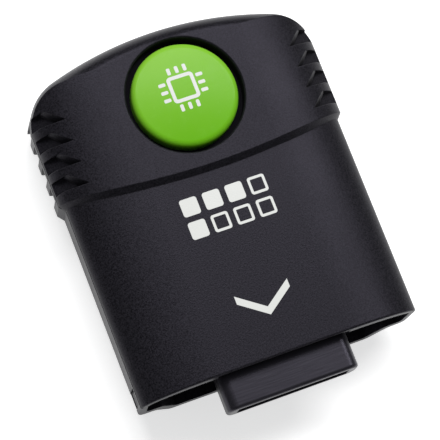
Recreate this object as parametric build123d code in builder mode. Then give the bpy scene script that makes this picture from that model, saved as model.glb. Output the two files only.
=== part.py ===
from build123d import *
from math import atan2, sqrt, tan
import os

os.makedirs("parts", exist_ok=True)

# Driving sizes in millimetres, read from the photograph with the lower body taken as 44 wide
body_width = 44.0
body_height = 15.0
head_overhang = 0.8
head_rise = 0.9
crown_reach = 53.1
crown_radius = 56.5
plug_reach = 5.1
plug_width = 20.8
plug_height = 4.5
wall = 1.8
head_wall = 2.4

# Named clearances
lap_gap = 0.1
window_gap = 0.1
screw_gap = 0.05
shank_gap = 0.2
screw_head_gap = 0.3
boss_gap = 0.2
peg_gap = 0.05
slot_gap = 0.05
badge_gap = 0.9
plug_headroom = 0.65

# Frame: X across, Y toward the head, Z out of the front face, origin under the middle of the box
total_length = crown_reach + plug_reach
mouth_y = plug_reach - total_length / 2
body_half = body_width / 2
head_half = body_half + head_overhang
head_height = body_height + head_rise
crown_y = mouth_y + crown_reach - crown_radius

# Section across the case
shoulder_drop = 4.9
shoulder_run = 12.0
side_draft = 0.3
wing_z = 3.75
wing_width = 3.0
pan_inset = 5.8
hull_radius = 1.4
cavity_radius = 0.8
shoulder_z = body_height - shoulder_drop
wing_in = body_half - wing_width
pan_half = body_half - pan_inset
cavity_half = body_half - wall

# Badge and the well it sits in
badge_radius = 8.05
badge_crown = 0.35
badge_round = 0.9
well_depth = 2.4
well_floor = 1.6
well_chamfer = 0.2
crown_margin = 2.95
adhesive_height = 0.15
adhesive_inset = 0.5
well_radius = badge_radius + badge_gap
badge_y = mouth_y + crown_reach - crown_margin - well_radius

# Head outline and the step below the badge
step_margin = 3.2
step_bulge = 2.3
head_corner = 7.5
crown_run = 3.0
rear_round = 2.0
step_bevel = 1.0
mouth_round = 0.3
step_middle = badge_y - well_radius - step_margin
step_side = step_middle + step_bulge

# Plug level and the parting plane through it
plug_half = plug_width / 2
plug_top = body_height - wall - plug_headroom
plug_middle = plug_top - plug_height / 2
parting_drop = 0.1
parting_z = plug_middle - parting_drop

# Mouth, end wall and lap joint between the shells
mouth_depth = 1.5
mouth_side = 1.1
relief_depth = 1.2
end_wall = 1.5
seam_inset = 0.38
seam_height = 0.3
lap_width = 0.8
lap_height = 0.8
inner_y = mouth_y + mouth_depth + end_wall

# Grip pockets and latch notches
pocket_count = 4
pocket_pitch = 3.41
pocket_height = 2.65
pocket_slant = 0.83
pocket_ramp = 2.0
pocket_draft = 0.6
pocket_flare = 3.2
pocket_exit = 0.3
pocket_foot = 0.4
pocket_back = 0.8
pocket_rim = 1.4
pocket_inset = 5.6
pocket_rise = 4.05
pocket_inner = head_half - pocket_inset
pocket_first = step_middle + pocket_rise
latch_start = 0.8
latch_length = 2.6
latch_depth = 0.5
latch_rim = 0.8
latch_lift = 0.75

# Board, posts, rails and screws
board_thickness = 1.2
rail_rise = 0.25
board_inset = 2.7
board_gap = 1.4
board_round = 1.0
boss_x = 11.5
boss_rise = 13.0
boss_drop = 6.8
boss_radius = 2.5
rear_boss_radius = 3.3
board_drop = 3.0
screw_radius = 1.05
screw_head_radius = 2.0
screw_head_height = 1.6
screw_head_round = 0.5
screw_seat = 2.6
screw_reach = 8.0
drive_length = 2.4
drive_width = 0.5
drive_depth = 0.8
post_radius = 1.2
post_inset = 1.7
post_end = 2.5
rail_width = 1.4
rail_end = 2.0
board_bottom = wing_z + wall + rail_rise
board_top = board_bottom + board_thickness
board_half = cavity_half - board_inset
board_start = inner_y + board_gap
boss_y_low = mouth_y + boss_rise
boss_y_high = mouth_y + crown_reach - boss_drop
board_end = boss_y_high - rear_boss_radius - board_drop
post_x = board_half - post_inset

# Plug, tongue and contacts
plug_wall = 0.9
plug_round = 1.6
nose_round = 0.5
flange_height = 1.2
flange_lap = 0.5
tail_length = 4.4
tail_inset = 1.15
tongue_height = 1.2
tongue_lift = 0.4
tongue_inset = 1.0
tongue_back = 0.9
tongue_chamfer = 0.3
contact_count = 5
contact_pitch = 3.2
contact_width = 1.4
contact_height = 0.25
contact_back = 1.5
contact_leg = 0.3
contact_foot = 1.4
slot_side = 0.2
peg_radius = 0.65
peg_inset = 1.3
peg_length = 1.4
tail_half = plug_half - tail_inset
tail_y = inner_y + flange_height + tail_length
tongue_top = plug_middle + tongue_lift
peg_x = tail_half - peg_inset
peg_y = inner_y + flange_height + tail_length / 2


def hull_section(half, crown, run, inset, radius):
    """Section of the case: rear pan and wings, elliptical shoulders, all sides pulled in by the inset."""
    side = half - inset
    lean = inset * tan(atan2(wing_z, wing_in - pan_half) / 2)
    rise = crown - inset - shoulder_z
    with BuildSketch() as section:
        with BuildLine():
            FilletPolyline(
                (-side, shoulder_z),
                (-side + side_draft, wing_z + inset),
                (-wing_in + lean, wing_z + inset),
                (-pan_half + lean, inset),
                (pan_half - lean, inset),
                (wing_in - lean, wing_z + inset),
                (side - side_draft, wing_z + inset),
                (side, shoulder_z),
                radius=radius,
            )
            right = EllipticalCenterArc((side - run, shoulder_z), run, rise, start_angle=0, arc_size=90)
            left = EllipticalCenterArc((run - side, shoulder_z), run, rise, start_angle=90, arc_size=90)
            Line(right @ 1, left @ 0)
        make_face()
    return section.sketch


def rim_line(inset):
    """Sides, corners and crown of the head's plan, from step end to step end, pulled in by the inset."""
    side = head_half - inset
    corner_x = head_half - head_corner
    corner_y = crown_y + sqrt((crown_radius - head_corner) ** 2 - corner_x**2)
    share = (crown_radius - inset) / (crown_radius - head_corner)
    blend_x = corner_x * share
    blend_y = crown_y + (corner_y - crown_y) * share
    with BuildLine() as rim:
        Line((side, step_side), (side, corner_y))
        TangentArc((side, corner_y), (blend_x, blend_y), tangent=(0, 1))
        ThreePointArc((blend_x, blend_y), (0, crown_y + crown_radius - inset), (-blend_x, blend_y))
        TangentArc((-side, corner_y), (-blend_x, blend_y), tangent=(0, 1))
        Line((-side, corner_y), (-side, step_side))
    return rim.line


def head_plan(inset):
    """Plan of the head: arc step below, sides, corners and crown pulled in by the inset."""
    side = head_half - inset
    with BuildSketch() as plan:
        with BuildLine():
            add(rim_line(inset))
            ThreePointArc((-side, step_side), (0, step_middle), (side, step_side))
        make_face()
    return plan.sketch


def lap_plan(grow, start):
    """Plan of the cavity with its sides, corners and crown pushed out by the growth, from a start in Y."""
    with BuildSketch() as plan:
        with Locations((0, start + crown_reach / 2)):
            Rectangle(2 * (cavity_half + grow), crown_reach)
        with Locations((0, crown_y)):
            Circle(crown_radius - head_wall + grow, mode=Mode.INTERSECT)
        fillet(plan.vertices().group_by(Axis.Y)[-1], head_corner - head_wall + grow)
    return plan.sketch


def slot_plan(hand, edge, share):
    """Plan of one grip pocket: slanted inner end, drawn in by a share of the ramp and the draft."""
    tip = pocket_inner + share * pocket_ramp
    draft = share * pocket_draft
    back = tip + pocket_slant * (pocket_height - draft)
    with BuildSketch() as plan:
        with BuildLine():
            Polyline(
                (hand * tip, edge + draft),
                (hand * back, edge + pocket_height),
                (hand * (head_half + 1.0), edge + pocket_height),
                (hand * (head_half + 1.0), edge + draft),
                close=True,
            )
        make_face()
    return plan.sketch


# Rounding of the head's front rim: the waste outside a tall elliptical profile, carried round the rim
with BuildPart() as rim_cutter:
    with BuildSketch(Plane.XZ.offset(-step_side)):
        with BuildLine():
            rise = head_height - shoulder_z
            bow_middle = (head_half - crown_run, shoulder_z)
            bow = EllipticalCenterArc(bow_middle, crown_run, rise, start_angle=0, arc_size=90)
            Polyline(
                bow @ 1,
                (head_half - crown_run, head_height + 1.0),
                (head_half + 1.0, head_height + 1.0),
                (head_half + 1.0, shoulder_z),
                bow @ 0,
            )
        make_face()
    sweep(path=rim_line(0))

# Head envelope, from the arc step to the crown
with BuildPart() as head_block:
    with BuildSketch():
        add(head_plan(0))
    extrude(amount=head_height)
    rear_rim = head_block.edges().filter_by(GeomType.CIRCLE).filter_by(lambda e: e.center().Z < 0.01)
    fillet(rear_rim.sort_by(Axis.Y)[1:], rear_round)
    add(rim_cutter.part, mode=Mode.SUBTRACT)
    with BuildSketch(Plane.XZ.offset(-mouth_y - 2 * crown_reach)):
        add(hull_section(head_half, head_height, shoulder_run, 0, hull_radius))
    extrude(amount=2 * crown_reach, mode=Mode.INTERSECT)
    step_face = head_block.faces().sort_by(Axis.Y).first
    chamfer(step_face.edges().filter_by(lambda e: e.center().Z > wing_z + 1.0), step_bevel)

# Cavity shared by both shells
with BuildPart() as cavity:
    with BuildSketch(Plane.XZ.offset(-inner_y - crown_reach)):
        add(hull_section(body_half, body_height, shoulder_run - wall, wall, cavity_radius))
    extrude(amount=crown_reach)
    with BuildSketch():
        add(lap_plan(0, inner_y))
    extrude(amount=body_height, mode=Mode.INTERSECT)

# Grip pockets over the shoulders: slots with a ramped inner end and a flat floor that runs out at the side
with BuildPart() as grip_cutter:
    for index in range(pocket_count):
        edge = pocket_first + index * pocket_pitch
        for hand in (-1, 1):
            with BuildSketch(Plane.XY.offset(head_height - pocket_flare)):
                add(slot_plan(hand, edge, 1))
            with BuildSketch(Plane.XY.offset(head_height)):
                add(slot_plan(hand, edge, 0))
            loft(ruled=True)
            with BuildSketch(Plane.XY.offset(parting_z + pocket_foot)):
                add(slot_plan(hand, edge, 1))
            extrude(amount=head_height - pocket_flare - parting_z - pocket_foot)
    with BuildSketch(Plane.XZ.offset(-mouth_y - 2 * crown_reach)):
        with BuildLine():
            Polyline(
                (-head_half - pocket_exit, parting_z + pocket_foot),
                (-pocket_inner - pocket_ramp, head_height - pocket_flare),
                (pocket_inner + pocket_ramp, head_height - pocket_flare),
                (head_half + pocket_exit, parting_z + pocket_foot),
                close=True,
            )
        make_face()
    extrude(amount=2 * crown_reach, mode=Mode.SUBTRACT)

# Grip pockets behind the parting plane, in line with the others and shallower
with BuildPart() as rear_grip_cutter:
    for index in range(pocket_count):
        with BuildSketch(Plane.XY.offset(-1.0)):
            for hand in (-1, 1):
                add(slot_plan(hand, pocket_first + index * pocket_pitch, 1))
        extrude(amount=parting_z - pocket_rim + 1.0)
    with BuildSketch(Plane.XZ.offset(-mouth_y - 2 * crown_reach)):
        add(hull_section(head_half, head_height, shoulder_run - pocket_back, pocket_back, hull_radius))
    extrude(amount=2 * crown_reach, mode=Mode.SUBTRACT)

# Whole case before it is parted: lower body, head, mouth, cavity, pockets, latch notches and plug window
with BuildPart() as case_block:
    body_end = step_side + step_bevel + 1.0
    with BuildSketch(Plane.XZ.offset(-body_end)):
        add(hull_section(body_half, body_height, shoulder_run, 0, hull_radius))
    extrude(amount=body_end - mouth_y)
    fillet(case_block.faces().sort_by(Axis.Y).first.edges(), mouth_round)
    add(head_block.part)
    with BuildSketch(Plane.XZ.offset(-mouth_y - mouth_depth)):
        recess_half = body_half + wall - mouth_side
        add(hull_section(recess_half, body_height, shoulder_run - mouth_side, wall, cavity_radius))
    extrude(amount=mouth_depth + 1.0, mode=Mode.SUBTRACT)
    add(cavity.part, mode=Mode.SUBTRACT)
    add(grip_cutter.part, mode=Mode.SUBTRACT)
    add(rear_grip_cutter.part, mode=Mode.SUBTRACT)
    with BuildSketch(Plane.XY.offset(wing_z + latch_lift)):
        for hand in (-1, 1):
            with Locations((hand * body_half, mouth_y + latch_start + latch_length / 2)):
                Rectangle(2 * latch_depth, latch_length)
    extrude(amount=parting_z - latch_rim - wing_z - latch_lift, mode=Mode.SUBTRACT)
    with BuildSketch(Plane.XZ.offset(-inner_y - 0.2)):
        with Locations((0, plug_middle)):
            window_width = plug_width + 2 * window_gap
            RectangleRounded(window_width, plug_height + 2 * window_gap, plug_round + window_gap)
    extrude(amount=end_wall + 0.4, mode=Mode.SUBTRACT)
    with BuildSketch(Plane.XY.offset(parting_z - seam_height / 2)):
        Rectangle(4 * head_half, 3 * total_length)
        with Locations((0, mouth_y)):
            Rectangle(body_width - 2 * seam_inset, 2 * (step_side - mouth_y) + 2.0, mode=Mode.SUBTRACT)
        add(head_plan(seam_inset), mode=Mode.SUBTRACT)
    extrude(amount=seam_height, mode=Mode.SUBTRACT)

bosses_low = [(-boss_x, boss_y_low), (boss_x, boss_y_low)]
bosses = bosses_low + [(-boss_x, boss_y_high), (boss_x, boss_y_high)]
posts = [(x, y) for x in (-post_x, post_x) for y in (board_start + post_end, board_end - post_end)]

# Front shell: badge well, lap groove, screw bosses and the posts that hold the board down
with BuildPart() as front_shell:
    add(case_block.part)
    split(bisect_by=Plane.XY.offset(parting_z), keep=Keep.TOP)
    with BuildSketch(Plane.XY.offset(parting_z)):
        add(lap_plan(lap_width, inner_y))
    extrude(amount=lap_height, mode=Mode.SUBTRACT)
    with BuildSketch(Plane.XZ.offset(-mouth_y - mouth_depth)):
        with Locations((0, body_height - wall)):
            Rectangle(plug_width, 2 * relief_depth)
    extrude(amount=mouth_depth + 1.0, mode=Mode.SUBTRACT)
    with BuildSketch(Plane.XY.offset(board_bottom)):
        with Locations(*bosses):
            Circle(boss_radius)
    extrude(amount=body_height - wall + 0.5 - board_bottom)
    with BuildSketch(Plane.XY.offset(board_top)):
        with Locations(*posts):
            Circle(post_radius)
    extrude(amount=body_height - wall + 0.2 - board_top)
    with BuildSketch(Plane.XY.offset(head_height - well_depth - well_floor)):
        with Locations((0, badge_y)):
            Circle(well_radius + wall)
    extrude(amount=well_floor + 0.3)
    with BuildSketch(Plane.XY.offset(board_bottom)):
        with Locations(*bosses):
            Circle(screw_radius + screw_gap)
    extrude(amount=screw_seat + screw_reach + 0.4 - board_bottom, mode=Mode.SUBTRACT)
    with BuildSketch(Plane.XZ.offset(-badge_y)):
        with BuildLine():
            Polyline(
                (0, head_height - well_depth),
                (well_radius, head_height - well_depth),
                (well_radius, head_height - well_chamfer),
                (well_radius + well_chamfer + 1.0, head_height + 1.0),
                (0, head_height + 1.0),
                close=True,
            )
        make_face()
    revolve(axis=Axis((0, badge_y, 0), (0, 0, 1)), mode=Mode.SUBTRACT)
front_shell.part.label = "front_shell"
export_step(front_shell.part, "parts/front_shell.step")

# Rear shell: lap tongue, board rails and the bosses that take the screws
with BuildPart() as rear_shell:
    add(case_block.part)
    split(bisect_by=Plane.XY.offset(parting_z), keep=Keep.BOTTOM)
    with BuildSketch(Plane.XY.offset(parting_z - lap_height / 2)):
        add(lap_plan(lap_width - lap_gap, inner_y + lap_gap))
        add(lap_plan(0, inner_y), mode=Mode.SUBTRACT)
    extrude(amount=1.5 * lap_height - lap_gap)
    with BuildSketch(Plane.XY.offset(wall / 2)):
        with Locations(*bosses):
            Circle(rear_boss_radius)
    extrude(amount=board_bottom - wall / 2)
    with BuildSketch(Plane.XY.offset(wall / 2)):
        with Locations((-post_x, (board_start + board_end) / 2), (post_x, (board_start + board_end) / 2)):
            Rectangle(rail_width, board_end - board_start - 2 * rail_end)
    extrude(amount=board_bottom - wall / 2)
    with BuildSketch():
        with Locations(*bosses):
            Circle(screw_head_radius + screw_head_gap)
    extrude(amount=screw_seat, mode=Mode.SUBTRACT)
    with BuildSketch():
        with Locations(*bosses):
            Circle(screw_radius + shank_gap)
    extrude(amount=board_bottom + 1.0, mode=Mode.SUBTRACT)
rear_shell.part.label = "rear_shell"
export_step(rear_shell.part, "parts/rear_shell.step")

# Badge: a puck with a rounded rim and a low crown
with BuildPart() as badge:
    badge_floor = head_height - well_depth + adhesive_height
    with BuildSketch(Plane.XZ.offset(-badge_y)):
        with BuildLine():
            Polyline(
                (0, head_height + badge_crown),
                (0, badge_floor),
                (badge_radius, badge_floor),
                (badge_radius, head_height),
            )
            SagittaArc((badge_radius, head_height), (0, head_height + badge_crown), -badge_crown / 4)
        make_face()
    revolve(axis=Axis((0, badge_y, 0), (0, 0, 1)))
    rim_edges = badge.edges().filter_by(lambda e: abs(e.center().Z - head_height) < 0.01)
    fillet(rim_edges, badge_round)
badge.part.label = "badge"
export_step(badge.part, "parts/badge.step")

# Adhesive foil under the badge
with BuildPart() as badge_adhesive:
    with BuildSketch(Plane.XY.offset(head_height - well_depth)):
        with Locations((0, badge_y)):
            Circle(badge_radius - adhesive_inset)
    extrude(amount=adhesive_height)
badge_adhesive.part.label = "badge_adhesive"
export_step(badge_adhesive.part, "parts/badge_adhesive.step")

# Plug shroud: hollow nose, flange behind the end wall, tail on the board and two pegs
with BuildPart() as plug_shell:
    with BuildSketch(Plane.XZ.offset(-inner_y)):
        with Locations((0, plug_middle)):
            RectangleRounded(plug_width, plug_height, plug_round)
    extrude(amount=inner_y - mouth_y + plug_reach)
    fillet(plug_shell.faces().sort_by(Axis.Y).first.edges(), nose_round)
    with BuildSketch(Plane.XZ.offset(-inner_y - flange_height)):
        with Locations((0, plug_middle)):
            Rectangle(plug_width + 2 * flange_lap, plug_height + 2 * flange_lap)
    extrude(amount=flange_height)
    with BuildSketch(Plane.XY.offset(board_top)):
        with Locations((0, tail_y - tail_length / 2)):
            Rectangle(2 * tail_half, tail_length)
    extrude(amount=plug_top - board_top)
    with BuildSketch(Plane.XZ.offset(-inner_y)):
        with Locations((0, plug_middle)):
            Rectangle(plug_width - 2 * plug_round, plug_height - 2 * plug_wall)
    extrude(amount=2 * plug_reach + mouth_depth + end_wall, mode=Mode.SUBTRACT)
    with BuildSketch(Plane.XZ.offset(-tail_y)):
        with Locations((0, tongue_top + (contact_height + slot_gap) / 2)):
            slot_width = (contact_count - 1) * contact_pitch + contact_width + 2 * slot_side
            Rectangle(slot_width, contact_height + slot_gap)
    extrude(amount=flange_height + tail_length, mode=Mode.SUBTRACT)
    with BuildSketch(Plane.XY.offset(board_top)):
        with Locations((-peg_x, peg_y), (peg_x, peg_y)):
            Circle(peg_radius)
    extrude(amount=-peg_length)
plug_shell.part.label = "plug_shell"
export_step(plug_shell.part, "parts/plug_shell.step")

# Tongue that carries the contacts inside the plug
with BuildPart() as contact_tongue:
    tongue_length = inner_y - mouth_y + plug_reach - tongue_back
    with BuildSketch(Plane.XY.offset(tongue_top - tongue_height)):
        with Locations((0, inner_y - tongue_length / 2)):
            Rectangle(plug_width - 2 * plug_round - 2 * tongue_inset, tongue_length)
    extrude(amount=tongue_height)
    chamfer(contact_tongue.faces().sort_by(Axis.Y).first.edges().filter_by(Axis.X), tongue_chamfer)
contact_tongue.part.label = "contact_tongue"
export_step(contact_tongue.part, "parts/contact_tongue.step")

# Contacts: flat strips along the tongue, through the shroud and bent down to the board
with BuildPart() as contacts:
    tip_y = mouth_y - plug_reach + contact_back
    leg_y = tail_y + contact_leg
    for index in range(contact_count):
        middle_x = (index - (contact_count - 1) / 2) * contact_pitch
        with BuildSketch(Plane.YZ.offset(middle_x - contact_width / 2)):
            with BuildLine():
                Polyline(
                    (tip_y, tongue_top),
                    (leg_y, tongue_top),
                    (leg_y, board_top),
                    (leg_y + contact_foot, board_top),
                    (leg_y + contact_foot, board_top + contact_height),
                    (leg_y + contact_height, board_top + contact_height),
                    (leg_y + contact_height, tongue_top + contact_height),
                    (tip_y, tongue_top + contact_height),
                    close=True,
                )
            make_face()
        extrude(amount=contact_width)
contacts.part.label = "contacts"
export_step(contacts.part, "parts/contacts.step")

# Circuit board, with holes for the lower bosses and the plug's pegs
with BuildPart() as circuit_board:
    with BuildSketch(Plane.XY.offset(board_bottom)):
        with Locations((0, (board_start + board_end) / 2)):
            RectangleRounded(2 * board_half, board_end - board_start, board_round)
        with Locations(*bosses_low):
            Circle(boss_radius + boss_gap, mode=Mode.SUBTRACT)
        with Locations((-peg_x, peg_y), (peg_x, peg_y)):
            Circle(peg_radius + peg_gap, mode=Mode.SUBTRACT)
    extrude(amount=board_thickness)
circuit_board.part.label = "circuit_board"
export_step(circuit_board.part, "parts/circuit_board.step")

# Memory package and its leads on the two short ends
package_stand = 0.1
package_chamfer = 0.12
lead_pitch = 0.5
lead_width = 0.22
lead_height = 0.13
flash_rise = 28.5
flash_length = 18.4
flash_width = 12.0
flash_height = 1.0
flash_lead_count = 22
flash_lead_bend = 0.25
flash_lead_heel = 0.4
flash_lead_reach = 0.8
flash_y = mouth_y + flash_rise
flash_level = board_top + package_stand + flash_height / 2
with BuildPart() as flash_chip:
    with BuildSketch(Plane.XY.offset(board_top + package_stand)):
        with Locations((0, flash_y)):
            Rectangle(flash_length, flash_width)
    extrude(amount=flash_height)
    chamfer(flash_chip.faces().sort_by(Axis.Z).last.edges(), package_chamfer)
flash_chip.part.label = "flash_chip"
export_step(flash_chip.part, "parts/flash_chip.step")

with BuildPart() as flash_leads:
    for low, high, inner, outer in (
        (board_top, board_top + lead_height, flash_lead_bend, flash_lead_reach),
        (board_top, flash_level + lead_height, flash_lead_bend, flash_lead_heel),
        (flash_level, flash_level + lead_height, 0.0, flash_lead_heel),
    ):
        with BuildSketch(Plane.XY.offset(low)):
            for hand in (-1, 1):
                with Locations((hand * (flash_length / 2 + (inner + outer) / 2), flash_y)):
                    with GridLocations(0, lead_pitch, 1, flash_lead_count):
                        Rectangle(outer - inner, lead_width)
        extrude(amount=high - low)
flash_leads.part.label = "flash_leads"
export_step(flash_leads.part, "parts/flash_leads.step")

# Interface package and its leads on all four sides
control_rise = 16.5
control_side = 7.0
control_height = 1.4
control_lead_count = 12
control_lead_bend = 0.3
control_lead_heel = 0.45
control_lead_reach = 1.0
control_y = mouth_y + control_rise
control_level = board_top + package_stand + control_height / 2
with BuildPart() as controller_chip:
    with BuildSketch(Plane.XY.offset(board_top + package_stand)):
        with Locations((0, control_y)):
            Rectangle(control_side, control_side)
    extrude(amount=control_height)
    chamfer(controller_chip.faces().sort_by(Axis.Z).last.edges(), package_chamfer)
controller_chip.part.label = "controller_chip"
export_step(controller_chip.part, "parts/controller_chip.step")

with BuildPart() as controller_leads:
    for low, high, inner, outer in (
        (board_top, board_top + lead_height, control_lead_bend, control_lead_reach),
        (board_top, control_level + lead_height, control_lead_bend, control_lead_heel),
        (control_level, control_level + lead_height, 0.0, control_lead_heel),
    ):
        with BuildSketch(Plane.XY.offset(low)):
            for hand in (-1, 1):
                with Locations((hand * (control_side / 2 + (inner + outer) / 2), control_y)):
                    with GridLocations(0, lead_pitch, 1, control_lead_count):
                        Rectangle(outer - inner, lead_width)
                with Locations((0, control_y + hand * (control_side / 2 + (inner + outer) / 2))):
                    with GridLocations(lead_pitch, 0, control_lead_count, 1):
                        Rectangle(lead_width, outer - inner)
        extrude(amount=high - low)
controller_leads.part.label = "controller_leads"
export_step(controller_leads.part, "parts/controller_leads.step")

# Clock crystal: a drawn can on its base flange, in the row beside the memory package
crystal_rise = 27.0
crystal_length = 11.0
crystal_width = 4.6
crystal_flange = 0.4
crystal_base = 0.5
crystal_height = 2.8
crystal_round = 0.5
row_gap = 1.1
row_x = flash_length / 2 + flash_lead_reach + row_gap + crystal_width / 2
with BuildPart() as crystal:
    with BuildSketch(Plane.XY.offset(board_top)):
        with Locations((-row_x, mouth_y + crystal_rise)):
            SlotOverall(crystal_length, crystal_width, rotation=90)
    extrude(amount=crystal_base)
    with BuildSketch(Plane.XY.offset(board_top + crystal_base)):
        with Locations((-row_x, mouth_y + crystal_rise)):
            SlotOverall(crystal_length - 2 * crystal_flange, crystal_width - 2 * crystal_flange, rotation=90)
    extrude(amount=crystal_height)
    fillet(crystal.faces().sort_by(Axis.Z).last.edges(), crystal_round)
crystal.part.label = "crystal"
export_step(crystal.part, "parts/crystal.step")

# Voltage regulator and its leads, in the other row
regulator_rise = 6.0
regulator_length = 4.5
regulator_width = 2.5
regulator_height = 1.5
regulator_chamfer = 0.15
regulator_lead_pitch = 1.5
regulator_lead_width = 0.45
regulator_tab_width = 1.7
regulator_lead_length = 0.9
regulator_lead_height = 0.4
regulator_y = boss_y_low + regulator_rise
with BuildPart() as voltage_regulator:
    with BuildSketch(Plane.XY.offset(board_top)):
        with Locations((row_x, regulator_y)):
            Rectangle(regulator_length, regulator_width)
    extrude(amount=regulator_height)
    chamfer(voltage_regulator.faces().sort_by(Axis.Z).last.edges(), regulator_chamfer)
voltage_regulator.part.label = "voltage_regulator"
export_step(voltage_regulator.part, "parts/voltage_regulator.step")

with BuildPart() as regulator_leads:
    lead_middle = (regulator_width + regulator_lead_length) / 2
    with BuildSketch(Plane.XY.offset(board_top)):
        with Locations((row_x, regulator_y - lead_middle)):
            with GridLocations(regulator_lead_pitch, 0, 3, 1):
                Rectangle(regulator_lead_width, regulator_lead_length)
        with Locations((row_x, regulator_y + lead_middle)):
            Rectangle(regulator_tab_width, regulator_lead_length)
    extrude(amount=regulator_lead_height)
regulator_leads.part.label = "regulator_leads"
export_step(regulator_leads.part, "parts/regulator_leads.step")

# Tantalum capacitor
tantalum_rise = 26.5
tantalum_length = 6.0
tantalum_width = 3.2
tantalum_height = 2.5
tantalum_chamfer = 0.25
with BuildPart() as tantalum_capacitor:
    with BuildSketch(Plane.XY.offset(board_top)):
        with Locations((row_x, mouth_y + tantalum_rise)):
            Rectangle(tantalum_width, tantalum_length)
    extrude(amount=tantalum_height)
    chamfer(tantalum_capacitor.faces().sort_by(Axis.Z).last.edges(), tantalum_chamfer)
tantalum_capacitor.part.label = "tantalum_capacitor"
export_step(tantalum_capacitor.part, "parts/tantalum_capacitor.step")

# Ceramic capacitors, one group
ceramic_length = 2.0
ceramic_width = 1.25
ceramic_height = 0.85
ceramic_pitch = 2.0
ceramic_rise = 5.5
ceramic_lift = 3.4
ceramic_gap = 2.5
column_gap = 1.8
column_x = boss_x - boss_radius - column_gap
ceramic_y = mouth_y + tantalum_rise + tantalum_length / 2 + ceramic_gap
with BuildPart() as ceramic_capacitors:
    with BuildSketch(Plane.XY.offset(board_top)):
        with Locations((0, control_y + ceramic_lift)):
            with GridLocations(2 * column_x, ceramic_pitch, 2, 2):
                Rectangle(ceramic_length, ceramic_width)
        with Locations((-row_x, boss_y_low + ceramic_rise), (row_x, ceramic_y)):
            Rectangle(ceramic_length, ceramic_width)
    extrude(amount=ceramic_height)
ceramic_capacitors.part.label = "ceramic_capacitors"
export_step(ceramic_capacitors.part, "parts/ceramic_capacitors.step")

# Chip resistors, one group
resistor_length = 1.6
resistor_width = 0.8
resistor_height = 0.45
resistor_pitch = 1.9
resistor_lift = 0.3
with BuildPart() as resistors:
    with BuildSketch(Plane.XY.offset(board_top)):
        with Locations((0, boss_y_low + resistor_lift)):
            with GridLocations(2 * column_x, resistor_pitch, 2, 2):
                Rectangle(resistor_length, resistor_width)
    extrude(amount=resistor_height)
resistors.part.label = "resistors"
export_step(resistors.part, "parts/resistors.step")

# Ferrite beads on the supply lines, one group
ferrite_length = 1.6
ferrite_width = 0.8
ferrite_height = 0.8
with BuildPart() as ferrite_beads:
    with BuildSketch(Plane.XY.offset(board_top)):
        with Locations((-column_x, control_y), (column_x, control_y)):
            Rectangle(ferrite_length, ferrite_width)
    extrude(amount=ferrite_height)
ferrite_beads.part.label = "ferrite_beads"
export_step(ferrite_beads.part, "parts/ferrite_beads.step")

# Case screws, four equal ones in one group
with BuildPart() as case_screws:
    with BuildSketch(Plane.XY.offset(screw_seat - screw_head_height)):
        with Locations(*bosses):
            Circle(screw_head_radius)
    extrude(amount=screw_head_height)
    head_rims = case_screws.faces().filter_by(Axis.Z).group_by(Axis.Z)[0].edges()
    fillet(head_rims, screw_head_round)
    with BuildSketch(Plane.XY.offset(screw_seat)):
        with Locations(*bosses):
            Circle(screw_radius)
    extrude(amount=screw_reach)
    with BuildSketch(Plane.XY.offset(screw_seat - screw_head_height)):
        with Locations(*bosses):
            Rectangle(drive_length, drive_width)
            Rectangle(drive_width, drive_length)
    extrude(amount=drive_depth, mode=Mode.SUBTRACT)
case_screws.part.label = "case_screws"
export_step(case_screws.part, "parts/case_screws.step")
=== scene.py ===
import bpy
import numpy as np
from mathutils import Matrix, Vector


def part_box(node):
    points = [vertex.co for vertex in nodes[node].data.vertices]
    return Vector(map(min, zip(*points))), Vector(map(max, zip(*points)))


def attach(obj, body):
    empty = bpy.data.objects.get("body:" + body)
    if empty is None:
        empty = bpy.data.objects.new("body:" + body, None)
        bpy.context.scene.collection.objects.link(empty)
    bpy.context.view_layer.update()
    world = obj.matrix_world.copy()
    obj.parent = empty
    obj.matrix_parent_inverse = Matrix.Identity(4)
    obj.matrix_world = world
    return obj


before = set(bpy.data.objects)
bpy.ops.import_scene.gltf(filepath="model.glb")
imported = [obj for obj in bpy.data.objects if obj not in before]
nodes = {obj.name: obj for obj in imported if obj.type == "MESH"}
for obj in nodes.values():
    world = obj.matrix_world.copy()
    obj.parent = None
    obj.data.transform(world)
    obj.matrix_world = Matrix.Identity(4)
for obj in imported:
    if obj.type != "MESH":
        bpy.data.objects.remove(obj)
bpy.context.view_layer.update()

# Case: two shells moulded in black ABS, screwed together from behind.
# The mould is spark eroded, so every outer face has the same fine satin grain.
# Sharp edges are rubbed a little rounder and lighter by handling, and recesses get painted shade: a darker
# base colour, with a rougher gloss.
case_colour = (0.0105, 0.0100, 0.0125, 1)
case_rubbed = (0.045, 0.044, 0.052, 1)
case_tint = (0.84, 0.79, 1.0, 1)
case_specular = 0.150
case_smooth = 0.34
case_rough = 0.42
case_fleck = 0.85
grain_pitch = 0.00015
grain_depth = 0.000022
smudge_rate = 110.0
speck_rate = 4200.0
edge_radius = 0.00016
rub_rate = 900.0
recess_reach = 0.0015
recess_rough = 0.75
# Painted shade: recesses are darkened to this share of the colour.
recess_shade_share = 0.35


def put(tree, kind, inputs=None, **settings):
    """Adds a node to a tree, with its settings made first.

    Each named input is linked when it is given a socket and set when it is given a value.
    """
    node = tree.nodes.new(kind)
    for name, value in settings.items():
        setattr(node, name, value)
    for name, value in (inputs or {}).items():
        socket = node.inputs[name]
        if isinstance(value, bpy.types.NodeSocket):
            tree.links.new(value, socket)
        else:
            socket.default_value = value
    return node


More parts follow.
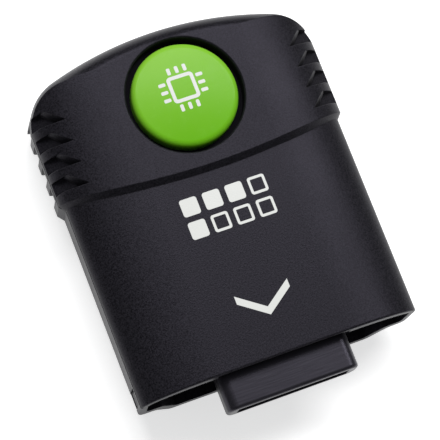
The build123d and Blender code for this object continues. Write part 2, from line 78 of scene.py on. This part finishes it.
def new_group(name, inputs, outputs):
    """An empty shader node group with the named sockets, and its input and output nodes."""
    tree = bpy.data.node_groups.new(name, "ShaderNodeTree")
    for label, kind, value in inputs:
        socket = tree.interface.new_socket(label, in_out="INPUT", socket_type=kind)
        socket.default_value = value
    for label, kind in outputs:
        tree.interface.new_socket(label, in_out="OUTPUT", socket_type=kind)
    return tree, tree.nodes.new("NodeGroupInput"), tree.nodes.new("NodeGroupOutput")


def mould_grain_group():
    """Spark-eroded grain, in three masks.

    Height is a fine noise times the distance to the nearest pit, Speckle is a finer noise for flecks,
    and Smudge is a broad slow noise for handling marks.
    """
    tree, given, out = new_group(
        "mould_grain",
        [("Pitch", "NodeSocketFloat", grain_pitch), ("Stretch", "NodeSocketVector", (1.0, 1.0, 1.0))],
        [("Height", "NodeSocketFloat"), ("Speckle", "NodeSocketFloat"), ("Smudge", "NodeSocketFloat")],
    )
    where = put(tree, "ShaderNodeTexCoord").outputs["Object"]
    stretched = put(tree, "ShaderNodeVectorMath", {
        0: where, 1: given.outputs["Stretch"]}, operation="MULTIPLY")
    place = stretched.outputs[0]
    rate = put(tree, "ShaderNodeMath", {0: 1.0, 1: given.outputs["Pitch"]}, operation="DIVIDE").outputs[0]
    fine = put(tree, "ShaderNodeTexNoise", {"Vector": place, "Scale": rate, "Detail": 3.0, "Roughness": 0.6})
    pits = put(tree, "ShaderNodeTexVoronoi", {"Vector": place, "Scale": rate}, feature="SMOOTH_F1")
    height = put(tree, "ShaderNodeMath", {
        0: fine.outputs[0], 1: pits.outputs["Distance"]}, operation="MULTIPLY")
    slow = put(tree, "ShaderNodeTexNoise", {
        "Vector": place, "Scale": smudge_rate, "Detail": 4.0, "Roughness": 0.55})
    speck = put(tree, "ShaderNodeTexNoise", {
        "Vector": place, "Scale": speck_rate, "Detail": 2.0, "Roughness": 0.7})
    tree.links.new(height.outputs[0], out.inputs["Height"])
    tree.links.new(speck.outputs[0], out.inputs["Speckle"])
    tree.links.new(slow.outputs[0], out.inputs["Smudge"])
    return tree


def edge_rub_group():
    """Rubbed edges: how far the softened normal leans from the face's own normal, broken up by noise."""
    tree, given, out = new_group(
        "edge_rub",
        [("Radius", "NodeSocketFloat", edge_radius)],
        [("Rub", "NodeSocketFloat"), ("Normal", "NodeSocketVector")],
    )
    soft = put(tree, "ShaderNodeBevel", {"Radius": given.outputs["Radius"]}, samples=6)
    face = put(tree, "ShaderNodeNewGeometry").outputs["Normal"]
    lean = put(tree, "ShaderNodeVectorMath", {0: soft.outputs[0], 1: face}, operation="DOT_PRODUCT")
    turn = put(tree, "ShaderNodeMapRange", {
        "Value": lean.outputs["Value"], "From Min": 0.995, "From Max": 0.80})
    place = put(tree, "ShaderNodeTexCoord").outputs["Object"]
    broken = put(tree, "ShaderNodeTexNoise", {
        "Vector": place, "Scale": rub_rate, "Detail": 4.0, "Roughness": 0.6})
    patch = put(tree, "ShaderNodeMapRange", {"Value": broken.outputs[0], "From Min": 0.32, "From Max": 0.68})
    rub = put(tree, "ShaderNodeMath", {0: turn.outputs[0], 1: patch.outputs[0]}, operation="MULTIPLY")
    tree.links.new(rub.outputs[0], out.inputs["Rub"])
    tree.links.new(soft.outputs[0], out.inputs["Normal"])
    return tree


def recess_shade_group():
    """Recesses: how far the surround within reach closes a point in, from open to deep, as the mask for
    painted shade.
    """
    tree, given, out = new_group(
        "recess", [("Reach", "NodeSocketFloat", recess_reach)], [("Recess", "NodeSocketFloat")])
    near = put(tree, "ShaderNodeAmbientOcclusion", {"Distance": given.outputs["Reach"]}, samples=8)
    deep = put(tree, "ShaderNodeMapRange", {"Value": near.outputs["AO"], "From Min": 0.9, "From Max": 0.4})
    tree.links.new(deep.outputs[0], out.inputs["Recess"])
    return tree


mould_grain = mould_grain_group()
edge_rub = edge_rub_group()
recess = recess_shade_group()


def new_finish(name):
    """An empty material with its Principled shader, ready for nodes."""
    finish = bpy.data.materials.new(name)
    finish.use_nodes = True
    return finish, finish.node_tree, finish.node_tree.nodes["Principled BSDF"]


def toned(colour, share):
    """A colour with its red, green and blue multiplied by one share."""
    return tuple(share * channel for channel in colour[:3]) + (1,)


def mix_colours(tree, share, first, second):
    """Colour mix: the first colour where the share is 0, and the second where it is 1."""
    return put(tree, "ShaderNodeMix", {0: share, 6: first, 7: second}, data_type="RGBA").outputs[2]


def moulded_plastic(name, colour, rubbed, smooth, rough, pitch, depth, radius, fleck=0.25,
                    stretch=(1.0, 1.0, 1.0), specular=0.5, tint=(1.0, 1.0, 1.0, 1)):
    """Moulded plastic: grain in bump, colour and gloss, smudges in gloss, rubbed edges, and painted shade
    with rougher gloss in recesses.
    """
    finish, tree, shader = new_finish(name)
    grain = put(tree, "ShaderNodeGroup", {"Pitch": pitch, "Stretch": stretch}, node_tree=mould_grain)
    rub = put(tree, "ShaderNodeGroup", {"Radius": radius}, node_tree=edge_rub)
    shade_and_matt_mask = put(tree, "ShaderNodeGroup", {"Reach": recess_reach}, node_tree=recess).outputs["Recess"]
    spread = put(tree, "ShaderNodeMapRange", {
        "Value": grain.outputs["Speckle"], "From Min": 0.34, "From Max": 0.66})
    flecked = mix_colours(tree, spread.outputs[0], toned(colour, 1.0 - fleck), toned(colour, 1.0 + fleck))
    worn = mix_colours(tree, rub.outputs["Rub"], flecked, rubbed)
    # Painted shade: the base colour darkens in recesses, where shade falls.
    shaded_in_recesses = mix_colours(tree, shade_and_matt_mask, worn, toned(colour, recess_shade_share))
    tree.links.new(shaded_in_recesses, shader.inputs["Base Color"])
    mottle = put(tree, "ShaderNodeMath", {
        0: grain.outputs["Smudge"], 1: grain.outputs["Speckle"]}, operation="ADD")
    gloss = put(tree, "ShaderNodeMapRange", {
        "Value": mottle.outputs[0], "From Min": 0.7, "From Max": 1.3, "To Min": smooth, "To Max": rough})
    matt = put(tree, "ShaderNodeMix", {0: shade_and_matt_mask, 2: gloss.outputs[0], 3: recess_rough}, data_type="FLOAT")
    tree.links.new(matt.outputs[0], shader.inputs["Roughness"])
    bump = put(tree, "ShaderNodeBump", {
        "Height": grain.outputs["Height"], "Normal": rub.outputs["Normal"],
        "Strength": 1.0, "Distance": depth})
    tree.links.new(bump.outputs[0], shader.inputs["Normal"])
    shader.inputs["Specular IOR Level"].default_value = specular
    shader.inputs["Specular Tint"].default_value = tint
    return finish


def dress(finish, *names):
    """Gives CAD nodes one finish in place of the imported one."""
    for name in names:
        nodes[name].data.materials.clear()
        nodes[name].data.materials.append(finish)


case_plastic = moulded_plastic(
    "case_plastic", case_colour, case_rubbed, case_smooth, case_rough, grain_pitch, grain_depth, edge_radius,
    fleck=case_fleck, specular=case_specular, tint=case_tint)
dress(case_plastic, "front_shell", "rear_shell")

# Circuit board: a green glass-epoxy laminate under solder resist, etched, drilled and routed to shape.
# It is held between the two shells and carries the packages, the small parts and the plug.
board_laminate = moulded_plastic(
    "board_laminate", colour=(0.012, 0.085, 0.035, 1), rubbed=(0.16, 0.15, 0.08, 1),
    smooth=0.30, rough=0.42, pitch=0.0005, depth=0.000012, radius=0.00008)
dress(board_laminate, "circuit_board")

# Packages: the black filled-epoxy bodies of the memory, the controller and the regulator.
# They are moulded round their lead frames with matt tops, and stand on the board by their leads.
package_epoxy = moulded_plastic(
    "package_epoxy", colour=(0.020, 0.020, 0.021, 1), rubbed=(0.06, 0.06, 0.06, 1),
    smooth=0.55, rough=0.68, pitch=0.0001, depth=0.000010, radius=0.00006)
dress(package_epoxy, "flash_chip", "controller_chip", "voltage_regulator")

# Leads and crystal: tinned copper legs, and the crystal's can of nickel silver.
# The legs are stamped, bent down and soldered to the board. The can is drawn and lies on the board.


def metal(name, colour, smooth, rough, pitch, depth, dull=0.78):
    """Plated or drawn metal: fine grain in gloss and bump, and a slow shift from a dull to a bright tone."""
    finish, tree, shader = new_finish(name)
    grain = put(tree, "ShaderNodeGroup", {"Pitch": pitch}, node_tree=mould_grain)
    tone = mix_colours(tree, grain.outputs["Smudge"], toned(colour, dull), colour)
    tree.links.new(tone, shader.inputs["Base Color"])
    shader.inputs["Metallic"].default_value = 1.0
    gloss = put(tree, "ShaderNodeMapRange", {
        "Value": grain.outputs["Speckle"], "From Min": 0.3, "From Max": 0.7,
        "To Min": smooth, "To Max": rough})
    tree.links.new(gloss.outputs[0], shader.inputs["Roughness"])
    bump = put(tree, "ShaderNodeBump", {
        "Height": grain.outputs["Height"], "Strength": 0.6, "Distance": depth})
    tree.links.new(bump.outputs[0], shader.inputs["Normal"])
    return finish


tinned_lead = metal(
    "tinned_lead", colour=(0.70, 0.70, 0.68, 1), smooth=0.25, rough=0.42, pitch=0.0003, depth=0.000006)
dress(tinned_lead, "flash_leads", "controller_leads", "regulator_leads")
crystal_can = metal(
    "crystal_can", colour=(0.66, 0.65, 0.61, 1), smooth=0.22, rough=0.36, pitch=0.0006, depth=0.000006)
dress(crystal_can, "crystal")

# Small parts: a tantalum capacitor moulded in yellow resin, fired ceramic capacitors,
# resistors and ferrite beads. They are soldered to the board around the packages.
tantalum_resin = moulded_plastic(
    "tantalum_resin", colour=(0.62, 0.33, 0.05, 1), rubbed=(0.7, 0.45, 0.12, 1),
    smooth=0.40, rough=0.52, pitch=0.0002, depth=0.000008, radius=0.00006)
dress(tantalum_resin, "tantalum_capacitor")
capacitor_ceramic = moulded_plastic(
    "capacitor_ceramic", colour=(0.36, 0.24, 0.14, 1), rubbed=(0.5, 0.4, 0.28, 1),
    smooth=0.35, rough=0.5, pitch=0.0002, depth=0.000006, radius=0.00005)
dress(capacitor_ceramic, "ceramic_capacitors")
resistor_ceramic = moulded_plastic(
    "resistor_ceramic", colour=(0.022, 0.022, 0.026, 1), rubbed=(0.2, 0.2, 0.2, 1),
    smooth=0.30, rough=0.45, pitch=0.0002, depth=0.000006, radius=0.00005)
dress(resistor_ceramic, "resistors")
ferrite = moulded_plastic(
    "ferrite", colour=(0.035, 0.033, 0.032, 1), rubbed=(0.1, 0.1, 0.1, 1),
    smooth=0.45, rough=0.6, pitch=0.0002, depth=0.000008, radius=0.00005)
dress(ferrite, "ferrite_beads")

# Plug: a rounded black nylon shroud that stands out of the mouth, and the tongue inside it.
# It is moulded in a polished tool, so it is a little smoother than the case, with faint lines across it.
plug_plastic = moulded_plastic(
    "plug_plastic", colour=(0.010, 0.0095, 0.0115, 1), rubbed=(0.05, 0.049, 0.056, 1),
    smooth=0.28, rough=0.36, pitch=0.00022, depth=0.000006, radius=0.0002,
    stretch=(0.06, 1.0, 1.0), specular=0.42, tint=case_tint)
dress(plug_plastic, "plug_shell", "contact_tongue")

# Contacts: strips of phosphor bronze with a gold flash, stamped in one row.
# They lie on the plug's tongue, and are bent down to the board and soldered.
plated_contact = metal(
    "plated_contact", colour=(0.83, 0.60, 0.22, 1), smooth=0.18, rough=0.30, pitch=0.0003, depth=0.000004)
dress(plated_contact, "contacts")

# Screws: four zinc-plated steel self-tapping screws with cross recesses.
# They are sunk in the back and hold the rear shell to the front one.
screw_steel = metal(
    "screw_steel", colour=(0.56, 0.56, 0.57, 1), smooth=0.22, rough=0.38, pitch=0.0004, depth=0.000008)
dress(screw_steel, "case_screws")

# Adhesive foil: a thin grey double-sided pad, cut to a disc.
# It bonds the badge to the floor of its well.
adhesive_foil = moulded_plastic(
    "adhesive_foil", colour=(0.42, 0.42, 0.40, 1), rubbed=(0.5, 0.5, 0.48, 1),
    smooth=0.55, rough=0.7, pitch=0.0004, depth=0.00001, radius=0.00005)
dress(adhesive_foil, "badge_adhesive")

# Badge: a domed disc moulded in green acrylic, polished, stuck down in the well of the head.
# Its colour is painted with light and shade, lighter toward the top and darker toward the lower edge, and
# its rim is turned over smoothly.
badge_painted_light = (0.240, 0.560, 0.040, 1)
badge_painted_shade = (0.145, 0.462, 0.010, 1)
badge_specular = 0.10
badge_smooth = 0.20
badge_rough = 0.30
badge_cloud_rate = 260.0
badge_cloud_share = 0.16
badge_mark_rate = 700.0
badge_mark_depth = 0.000004
badge_low, badge_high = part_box("badge")
badge_middle = 0.5 * (badge_low + badge_high)
badge_radius = 0.5 * (badge_high.x - badge_low.x)

badge_acrylic, badge_tree, badge_shader = new_finish("badge_acrylic")
badge_place = put(badge_tree, "ShaderNodeTexCoord").outputs["Object"]
badge_axes = put(badge_tree, "ShaderNodeSeparateXYZ", {"Vector": badge_place})
# Painted light and shade: the green runs from the shaded colour at the lower edge to the lit colour at the
# top.
badge_painted_shading = put(badge_tree, "ShaderNodeMapRange", {
    "Value": badge_axes.outputs["Y"], "From Min": badge_low.y, "From Max": badge_high.y})
badge_cloud = put(badge_tree, "ShaderNodeTexNoise", {
    "Vector": badge_place, "Scale": badge_cloud_rate, "Detail": 3.0})
badge_shift = put(badge_tree, "ShaderNodeMath", {
    0: badge_cloud.outputs[0], 1: badge_cloud_share, 2: -0.5 * badge_cloud_share}, operation="MULTIPLY_ADD")
badge_shading_and_cloud = put(badge_tree, "ShaderNodeMath", {
    0: badge_painted_shading.outputs[0], 1: badge_shift.outputs[0]}, operation="ADD")
badge_green = mix_colours(badge_tree, badge_shading_and_cloud.outputs[0], badge_painted_shade, badge_painted_light)
badge_tree.links.new(badge_green, badge_shader.inputs["Base Color"])
badge_marks = put(badge_tree, "ShaderNodeTexNoise", {
    "Vector": badge_place, "Scale": badge_mark_rate, "Detail": 5.0, "Roughness": 0.6})
badge_gloss = put(badge_tree, "ShaderNodeMapRange", {
    "Value": badge_marks.outputs[0], "From Min": 0.3, "From Max": 0.7,
    "To Min": badge_smooth, "To Max": badge_rough})
badge_tree.links.new(badge_gloss.outputs[0], badge_shader.inputs["Roughness"])
badge_bump = put(badge_tree, "ShaderNodeBump", {
    "Height": badge_marks.outputs[0], "Strength": 0.6, "Distance": badge_mark_depth})
badge_tree.links.new(badge_bump.outputs[0], badge_shader.inputs["Normal"])
badge_shader.inputs["Specular IOR Level"].default_value = badge_specular
dress(badge_acrylic, "badge")

# Badge print: a plain chip sign in white ink, pad printed on the dome.
# The film is a few hundredths of a millimetre thick and follows the dome under it.
ink_film = 0.00002
ink_colour = (0.80, 0.81, 0.78, 1)
ink_thin = 0.9
ink_smooth = 0.42
ink_rough = 0.55
badge_crown = 0.00035
chip_sign_half = 0.0021
chip_sign_stroke = 0.00055
chip_sign_corner = 0.0006
chip_sign_lift = 0.0010
chip_leg_width = 0.00055
chip_leg_length = 0.0011
chip_leg_pitch = 0.00125
chip_leg_gap = 0.0003
chip_leg_corner = 0.0002


def rounded_loop(half_x, half_y, corner, count=96, arc=9):
    """Rounded rectangle: quarter circles about the four corner centres, joined by straight runs.

    Each quarter circle is drawn with a few points, and the points returned are set evenly along the outline.
    """
    quarter = np.arange(4)[:, None] * np.pi / 2
    turn = (quarter + np.linspace(0, np.pi / 2, arc)[None, :]).ravel()
    side_x = np.repeat([1, -1, -1, 1], arc) * (half_x - corner)
    side_y = np.repeat([1, 1, -1, -1], arc) * (half_y - corner)
    loop = np.stack([side_x + corner * np.cos(turn), side_y + corner * np.sin(turn)], 1)
    loop = np.concatenate([loop, loop[:1]])
    along = np.concatenate([[0.0], np.cumsum(np.hypot(*np.diff(loop, axis=0).T))])
    even = np.arange(count) * along[-1] / count
    return np.stack([np.interp(even, along, loop[:, 0]), np.interp(even, along, loop[:, 1])], 1)


def ink_patch(loops, closed):
    """Grid of loops, outermost first.

    Each point is joined to the next on its loop and to the same point of the next loop. A closed patch ends
    in one point at the middle of its last loop, and an open one is a band.
    """
    rings, count = len(loops), len(loops[0])
    points = np.concatenate(loops)
    here = np.arange(rings * count).reshape(rings, count)
    after = np.roll(here, -1, axis=1)
    faces = [np.stack([here[:-1], after[:-1], after[1:], here[1:]], -1).reshape(-1, 4)]
    if closed:
        points = np.concatenate([points, loops[-1].mean(0)[None]])
        faces.append(np.stack([here[-1], after[-1], np.full(count, rings * count)], 1))
    return points, faces


def block(x, y, half_x, half_y, corner, shares=(1.0, 0.66, 0.33)):
    """A filled rounded block about (x, y): the outline, and the same outline drawn in toward its middle."""
    loop = rounded_loop(half_x, half_y, corner)
    middle = np.array([x, y])
    return ink_patch([middle + loop * share for share in shares], True)


def frame_band(x, y, half, stroke, corner, least=0.3):
    """A square frame about (x, y) with rounded corners, its stroke inside the outline.

    The inner corners are smaller by the stroke, and keep at least a share of the outer corners.
    """
    middle = np.array([x, y])
    outer = rounded_loop(half, half, corner)
    inner = rounded_loop(half - stroke, half - stroke, max(corner - stroke, corner * least))
    return ink_patch([middle + outer, middle + 0.5 * (outer + inner), middle + inner], False)


def ink_piece(name, patches, height, finish):
    """An ink film: flat patches joined, lifted onto the surface under them, and riding on the case.

    Each patch's face numbers move up by the count of points before it. Solidify gives the thickness.
    """
    points, faces, start = [], [], 0
    for patch_points, patch_faces in patches:
        points.append(patch_points)
        for corners in patch_faces:
            faces += (start + corners).tolist()
        start += len(patch_points)
    flat = np.concatenate(points)
    mesh = bpy.data.meshes.new(name)
    mesh.from_pydata(np.column_stack([flat, height(flat)]).tolist(), [], faces)
    mesh.materials.append(finish)
    piece = bpy.data.objects.new(name, mesh)
    bpy.context.scene.collection.objects.link(piece)
    film = piece.modifiers.new("film", "SOLIDIFY")
    film.thickness = ink_film
    film.offset = 0.0
    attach(piece, "root")


ink, ink_tree, ink_shader = new_finish("printing_ink")
ink_grain = put(ink_tree, "ShaderNodeGroup", {"Pitch": grain_pitch}, node_tree=mould_grain)
ink_white = mix_colours(ink_tree, ink_grain.outputs["Speckle"], toned(ink_colour, ink_thin), ink_colour)
ink_tree.links.new(ink_white, ink_shader.inputs["Base Color"])
ink_gloss = put(ink_tree, "ShaderNodeMapRange", {
    "Value": ink_grain.outputs["Smudge"], "From Min": 0.3, "From Max": 0.7,
    "To Min": ink_smooth, "To Max": ink_rough})
ink_tree.links.new(ink_gloss.outputs[0], ink_shader.inputs["Roughness"])
ink_bump = put(ink_tree, "ShaderNodeBump", {
    "Height": ink_grain.outputs["Height"], "Strength": 0.7, "Distance": grain_depth})
ink_tree.links.new(ink_bump.outputs[0], ink_shader.inputs["Normal"])


def on_dome(points):
    """Dome height: the top of the badge less its crown times the square of the share of its radius."""
    away = np.hypot(points[:, 0] - badge_middle.x, points[:, 1] - badge_middle.y) / badge_radius
    return badge_high.z - badge_crown * away ** 2


chip_x = badge_middle.x
chip_y = badge_middle.y + chip_sign_lift
leg_half_width = chip_leg_width / 2
leg_half_length = chip_leg_length / 2
leg_reach = chip_sign_half + chip_leg_gap + leg_half_length
chip_patches = [frame_band(chip_x, chip_y, chip_sign_half, chip_sign_stroke, chip_sign_corner)]
for step in (-1, 0, 1):
    slide = step * chip_leg_pitch
    for hand in (-1, 1):
        chip_patches.append(block(
            chip_x + slide, chip_y + hand * leg_reach, leg_half_width, leg_half_length, chip_leg_corner))
        chip_patches.append(block(
            chip_x + hand * leg_reach, chip_y + slide, leg_half_length, leg_half_width, chip_leg_corner))
ink_piece("badge_print", chip_patches, on_dome, ink)

# Face print: rows of plain storage cells and an arrow toward the plug, in the same white ink.
# It is pad printed on the flat of the front shell, square to the case.
face_z = 0.015
cell_half = 0.00135
cell_corner = 0.0004
cell_stroke = 0.0004
cell_pitch = 0.0036
cell_rows_y = 0.0010
cell_rows = 2
cell_columns = 4
filled_cells = ((0, 0), (0, 1), (0, 2), (1, 0))
arrow_y = -0.0150
arrow_half = 0.0042
arrow_drop = 0.0030
arrow_rise = 0.00126


def on_face(points):
    """Face height: the same all over the flat front."""
    return np.full(len(points), face_z)


cell_patches = []
for row in range(cell_rows):
    for column in range(cell_columns):
        x = (column - (cell_columns - 1) / 2) * cell_pitch
        y = cell_rows_y - row * cell_pitch
        if (row, column) in filled_cells:
            cell_patches.append(block(x, y, cell_half, cell_half, cell_corner))
        else:
            cell_patches.append(frame_band(x, y, cell_half, cell_stroke, cell_corner))
ink_piece("face_cells", cell_patches, on_face, ink)

arrow_lower = np.array([(-arrow_half, arrow_y), (0.0, arrow_y - arrow_drop), (arrow_half, arrow_y)])
arrow_upper = arrow_lower + np.array([0.0, arrow_rise])
arrow_points = np.concatenate([arrow_lower, arrow_upper])
arrow_faces = [np.array([(0, 1, 4, 3), (1, 2, 5, 4)])]
ink_piece("face_arrow", [(arrow_points, arrow_faces)], on_face, ink)

# Floor: a plain white studio floor, flat and matt.
# It shows white to the camera, in gloss and through clear pieces, and keeps the card's soft shadow.
floor_half = 3.0
floor_glow = 0.62
floor_colour = (0.86, 0.86, 0.86, 1)
floor_rough = 0.9
floor_corners = [
    (-floor_half, -floor_half, 0), (floor_half, -floor_half, 0),
    (floor_half, floor_half, 0), (-floor_half, floor_half, 0)]
floor_mesh = bpy.data.meshes.new("floor")
floor_mesh.from_pydata(floor_corners, [], [(0, 1, 2, 3)])
floor = bpy.data.objects.new("floor", floor_mesh)
bpy.context.scene.collection.objects.link(floor)
floor_white, floor_tree, floor_shader = new_finish("floor_white")
floor_shader.inputs["Base Color"].default_value = floor_colour
floor_shader.inputs["Roughness"].default_value = floor_rough
ray = put(floor_tree, "ShaderNodeLightPath")
direct = put(floor_tree, "ShaderNodeMath", {
    0: ray.outputs["Is Camera Ray"], 1: ray.outputs["Is Glossy Ray"]}, operation="MAXIMUM")
seen = put(floor_tree, "ShaderNodeMath", {
    0: direct.outputs[0], 1: ray.outputs["Is Transmission Ray"]}, operation="MAXIMUM")
glow = put(floor_tree, "ShaderNodeMath", {0: seen.outputs[0], 1: floor_glow}, operation="MULTIPLY")
floor_shader.inputs["Emission Color"].default_value = (1, 1, 1, 1)
floor_tree.links.new(glow.outputs[0], floor_shader.inputs["Emission Strength"])
floor_mesh.materials.append(floor_white)

# Light: one long softbox above the right of the head, and a plain pale surround.
# The lamp faces the card and is rolled a little about its own axis.
key_length = 1.00
key_width = 0.21
key_energy = 6.3
key_roll = 0.216
key_place = Vector((0.18, 0.31, 0.67))
surround_colour = (0.96, 0.98, 1.0, 1)
surround_strength = 0.22
key_lamp = bpy.data.lights.new("softbox", "AREA")
key_lamp.shape = "RECTANGLE"
key_lamp.size = key_length
key_lamp.size_y = key_width
key_lamp.energy = key_energy
key = bpy.data.objects.new("softbox", key_lamp)
bpy.context.scene.collection.objects.link(key)
key_turn = key_place.to_track_quat("Z", "Y").to_matrix().to_4x4()
key.matrix_world = Matrix.Translation(key_place) @ key_turn @ Matrix.Rotation(key_roll, 4, "Z")
surround = bpy.data.worlds.new("surround")
surround.use_nodes = True
surround_light = surround.node_tree.nodes["Background"]
surround_light.inputs["Color"].default_value = surround_colour
surround_light.inputs["Strength"].default_value = surround_strength
bpy.context.scene.world = surround

# Camera: above the card, turned and leaning as in the photograph, with a long lens.
# The turn and the shift are taken about the middle of the mouth, at the height of the face.
camera_turn = Vector((-0.24192174, 0.19755350, 0.34865925))
camera_shift = Vector((0.00956955, -0.01918144, -0.34762860))
mouth_y = -0.024
lens_pixels = 2400.0
frame_pixels = 440
sensor_width = 36.0
nearest = 0.01
farthest = 20.0
turned = Matrix.Rotation(camera_turn.length, 3, camera_turn.normalized())
stand = -(turned.transposed() @ camera_shift) + Vector((0.0, mouth_y, face_z))
camera = bpy.data.objects.new("camera", bpy.data.cameras.new("camera"))
bpy.context.scene.collection.objects.link(camera)
camera.matrix_world = Matrix.Translation(stand) @ turned.transposed().to_4x4()
camera.data.sensor_width = sensor_width
camera.data.lens = sensor_width * lens_pixels / frame_pixels
camera.data.clip_start = nearest
camera.data.clip_end = farthest
bpy.context.scene.camera = camera
bpy.context.scene.view_settings.view_transform = "Standard"
